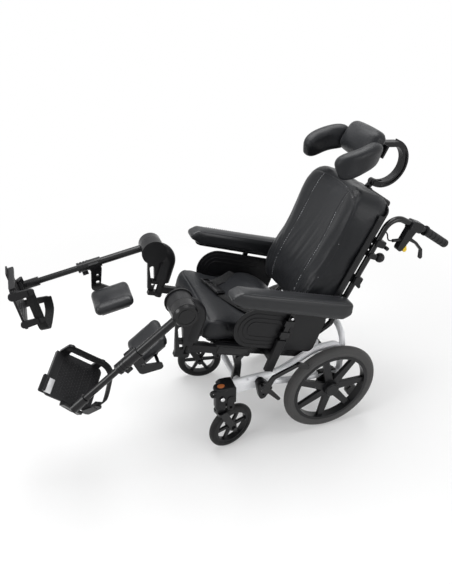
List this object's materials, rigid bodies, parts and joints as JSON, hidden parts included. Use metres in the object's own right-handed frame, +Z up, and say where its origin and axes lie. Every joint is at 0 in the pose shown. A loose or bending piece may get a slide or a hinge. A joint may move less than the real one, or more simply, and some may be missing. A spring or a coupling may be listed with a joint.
{
  "type": "tilt in space wheelchair",
  "caption": "Attendant-propelled tilt in space wheelchair with contoured cushions, winged headrest, height-adjustable armrests and elevating legrests.",
  "frame": {"origin": "on the floor, in the middle of the whole chair's width and length", "axes": "+X to the occupant's left, +Y to the rear, along the chair's length, +Z up"},
  "size_m": [0.55, 1.5734, 1.1545],
  "materials": {
    "silver_frame": "satin silver coat",
    "black_metal": "satin black coat",
    "bright_steel": "polished",
    "black_plastic": "fine grain",
    "wheel_plastic": "satin moulded",
    "tyre_rubber": "solid, matt",
    "upholstery": "soft coated upholstery with stitched seams",
    "webbing": "woven strap",
    "grip_rubber": "ribbed",
    "catch_yellow": "satin",
    "cable_sheath": "smooth"
  },
  "bodies": {
    "chassis": {"chassis_side_left": "silver_frame", "chassis_side_right": "silver_frame", "rear_hoop": "silver_frame", "cross_tubes": "silver_frame", "tilt_uprights": "black_metal", "caster_heads": "black_plastic", "chassis_brackets": "black_metal"},
    "seat": {"seat_rails": "black_metal", "seat_pan": "black_metal", "seat_cushion": "upholstery", "seat_brackets": "black_metal", "lap_belt": "webbing"},
    "back": {"back_posts": "black_metal", "back_shell": "black_plastic", "back_cushion": "upholstery", "push_grips": "grip_rubber", "lever_housings": "black_plastic", "back_knobs": "black_plastic", "brake_cables": "cable_sheath"},
    "headrest_stem": {"headrest_stem": "black_metal"},
    "headrest": {"headrest_bracket": "black_plastic", "headrest_pads": "upholstery"},
    "gas_cylinder": {"gas_cylinder": "black_metal"},
    "gas_rod": {"gas_rod": "bright_steel"},
    "rear_wheel_left": {"rear_rim_left": "wheel_plastic", "rear_tyre_left": "tyre_rubber"},
    "caster_fork_left": {"caster_fork_left": "black_metal"},
    "caster_wheel_left": {"caster_rim_left": "wheel_plastic", "caster_tyre_left": "tyre_rubber"},
    "brake_lever_left": {"brake_lever_left": "black_metal"},
    "lever_catch_left": {"lever_catch_left": "catch_yellow"},
    "leg_hanger_left": {"leg_hanger_left": "black_plastic"},
    "leg_outer_left": {"leg_tube_outer_left": "black_metal"},
    "leg_inner_left": {"leg_tube_inner_left": "black_metal"},
    "calf_pad_left": {"calf_pad_left": "upholstery"},
    "footplate_left": {"footplate_left": "black_plastic", "heel_strap_left": "webbing"},
    "armrest_left": {"arm_post_left": "black_metal", "arm_pad_left": "upholstery", "side_guard_left": "black_plastic"},
    "parking_brake_left": {"parking_brake_left": "black_metal"},
    "anti_tipper_left": {"anti_tipper_left": "black_metal"},
    "rear_wheel_right": {"rear_rim_right": "wheel_plastic", "rear_tyre_right": "tyre_rubber"},
    "caster_fork_right": {"caster_fork_right": "black_metal"},
    "caster_wheel_right": {"caster_rim_right": "wheel_plastic", "caster_tyre_right": "tyre_rubber"},
    "brake_lever_right": {"brake_lever_right": "black_metal"},
    "lever_catch_right": {"lever_catch_right": "catch_yellow"},
    "leg_hanger_right": {"leg_hanger_right": "black_plastic"},
    "leg_outer_right": {"leg_tube_outer_right": "black_metal"},
    "leg_inner_right": {"leg_tube_inner_right": "black_metal"},
    "calf_pad_right": {"calf_pad_right": "upholstery"},
    "footplate_right": {"footplate_right": "black_plastic", "heel_strap_right": "webbing"},
    "armrest_right": {"arm_post_right": "black_metal", "arm_pad_right": "upholstery", "side_guard_right": "black_plastic"},
    "parking_brake_right": {"parking_brake_right": "black_metal"},
    "anti_tipper_right": {"anti_tipper_right": "black_metal"}
  },
  "joints": [
    {"name": "rear_wheel_spin_left", "type": "hinge", "parent": "chassis", "child": "rear_wheel_left", "pos_m": [0.241, 0.325, 0.2], "axis": [1, 0, 0], "continuous": true},
    {"name": "caster_swivel_left", "type": "hinge", "parent": "chassis", "child": "caster_fork_left", "pos_m": [0.222, -0.132, 0.22], "axis": [0, 0, 1], "continuous": true},
    {"name": "caster_spin_left", "type": "hinge", "parent": "caster_fork_left", "child": "caster_wheel_left", "pos_m": [0.20906, -0.0837, 0.098], "axis": [0.9659, 0.2588, 0], "continuous": true},
    {"name": "rear_wheel_spin_right", "type": "hinge", "parent": "chassis", "child": "rear_wheel_right", "pos_m": [-0.241, 0.325, 0.2], "axis": [1, 0, 0], "continuous": true},
    {"name": "caster_swivel_right", "type": "hinge", "parent": "chassis", "child": "caster_fork_right", "pos_m": [-0.222, -0.132, 0.22], "axis": [0, 0, 1], "continuous": true},
    {"name": "caster_spin_right", "type": "hinge", "parent": "caster_fork_right", "child": "caster_wheel_right", "pos_m": [-0.2116, -0.08309, 0.098], "axis": [0.9781, -0.2079, 0], "continuous": true},
    {"name": "seat_tilt", "type": "hinge", "parent": "chassis", "child": "seat", "pos_m": [0, -0.043, 0.41], "axis": [-1, 0, 0], "range_deg": [-21, 5]},
    {"name": "back_recline", "type": "hinge", "parent": "seat", "child": "back", "pos_m": [0, 0.24995, 0.4], "axis": [-1, 0, 0], "range_deg": [-5, 23]},
    {"name": "gas_cylinder_swing", "type": "hinge", "parent": "chassis", "child": "gas_cylinder", "pos_m": [0, 0.377, 0.244], "axis": [-1, 0, 0], "range_deg": [-3.74, 14.77]},
    {"name": "gas_rod_swing", "type": "hinge", "parent": "seat", "child": "gas_rod", "pos_m": [0, 0.14904, 0.35287], "axis": [-1, 0, 0], "range_deg": [-8.75, 35.77]},
    {"name": "brake_lever_pull_left", "type": "hinge", "parent": "back", "child": "brake_lever_left", "pos_m": [0.19, 0.59877, 0.79786], "axis": [1, 0, 0], "range_deg": [0, 14], "stiffness_Nm_per_rad": 1.2, "springref_deg": -5.73},
    {"name": "lever_catch_flip_left", "type": "hinge", "parent": "back", "child": "lever_catch_left", "pos_m": [0.19, 0.59044, 0.77526], "axis": [1, 0, 0], "range_deg": [-25, 0]},
    {"name": "brake_lever_pull_right", "type": "hinge", "parent": "back", "child": "brake_lever_right", "pos_m": [-0.19, 0.59877, 0.79786], "axis": [1, 0, 0], "range_deg": [0, 14], "stiffness_Nm_per_rad": 1.2, "springref_deg": -5.73},
    {"name": "lever_catch_flip_right", "type": "hinge", "parent": "back", "child": "lever_catch_right", "pos_m": [-0.19, 0.59044, 0.77526], "axis": [1, 0, 0], "range_deg": [-25, 0]},
    {"name": "headrest_height", "type": "slide", "parent": "back", "child": "headrest_stem", "axis": [0, 0.4226, 0.9063], "range_m": [0, 0.07]},
    {"name": "headrest_angle", "type": "hinge", "parent": "headrest_stem", "child": "headrest", "pos_m": [0, 0.54726, 0.94767], "axis": [-1, 0, 0], "range_deg": [-3, 20]},
    {"name": "legrest_swing_left", "type": "hinge", "parent": "seat", "child": "leg_hanger_left", "pos_m": [0.198, -0.24169, 0.52488], "axis": [0, 0.342, 0.9397], "range_deg": [0, 80]},
    {"name": "legrest_raise_left", "type": "hinge", "parent": "leg_hanger_left", "child": "leg_outer_left", "pos_m": [0.238, -0.25548, 0.70336], "axis": [-1, 0, 0], "range_deg": [-23, 42]},
    {"name": "leg_length_left", "type": "slide", "parent": "leg_outer_left", "child": "leg_inner_left", "axis": [0, -0.7986, -0.6018], "range_m": [-0.05, 0.06]},
    {"name": "calf_pad_turn_left", "type": "hinge", "parent": "leg_outer_left", "child": "calf_pad_left", "pos_m": [0.238, -0.34618, 0.48476], "axis": [1, 0, 0], "range_deg": [-12, 12]},
    {"name": "footplate_flip_left", "type": "hinge", "parent": "leg_inner_left", "child": "footplate_left", "pos_m": [0.222, -0.65879, 0.39945], "axis": [0, 0.6018, -0.7986], "range_deg": [-34, 31]},
    {"name": "armrest_height_left", "type": "slide", "parent": "seat", "child": "armrest_left", "axis": [0, 0.342, 0.9397], "range_m": [0, 0.06]},
    {"name": "parking_brake_left", "type": "hinge", "parent": "chassis", "child": "parking_brake_left", "pos_m": [0.24, 0.029, 0.3], "axis": [1, 0, 0], "range_deg": [0, 10]},
    {"name": "anti_tipper_fold_left", "type": "hinge", "parent": "chassis", "child": "anti_tipper_left", "pos_m": [0.164, 0.368, 0.208], "axis": [1, 0, 0], "range_deg": [0, 90]},
    {"name": "legrest_swing_right", "type": "hinge", "parent": "seat", "child": "leg_hanger_right", "pos_m": [-0.198, -0.24169, 0.52488], "axis": [0, -0.342, -0.9397], "range_deg": [0, 80]},
    {"name": "legrest_raise_right", "type": "hinge", "parent": "leg_hanger_right", "child": "leg_outer_right", "pos_m": [-0.238, -0.25548, 0.70336], "axis": [-1, 0, 0], "range_deg": [-50.5, 14.5]},
    {"name": "leg_length_right", "type": "slide", "parent": "leg_outer_right", "child": "leg_inner_right", "axis": [0, -0.9863, -0.165], "range_m": [-0.05, 0.06]},
    {"name": "calf_pad_turn_right", "type": "hinge", "parent": "leg_outer_right", "child": "calf_pad_right", "pos_m": [-0.238, -0.43687, 0.55134], "axis": [1, 0, 0], "range_deg": [-12, 12]},
    {"name": "footplate_flip_right", "type": "hinge", "parent": "leg_inner_right", "child": "footplate_right", "pos_m": [-0.222, -0.75355, 0.62001], "axis": [0, -0.165, 0.9863], "range_deg": [0, 65]},
    {"name": "armrest_height_right", "type": "slide", "parent": "seat", "child": "armrest_right", "axis": [0, 0.342, 0.9397], "range_m": [0, 0.06]},
    {"name": "parking_brake_right", "type": "hinge", "parent": "chassis", "child": "parking_brake_right", "pos_m": [-0.24, 0.029, 0.3], "axis": [1, 0, 0], "range_deg": [0, 10]},
    {"name": "anti_tipper_fold_right", "type": "hinge", "parent": "chassis", "child": "anti_tipper_right", "pos_m": [-0.164, 0.368, 0.208], "axis": [1, 0, 0], "range_deg": [0, 90]}
  ],
  "couplings": [
    {"joint": "gas_cylinder_swing", "follows": "seat_tilt", "ratio": -0.689},
    {"joint": "gas_rod_swing", "follows": "seat_tilt", "ratio": -1.689}
  ]
}
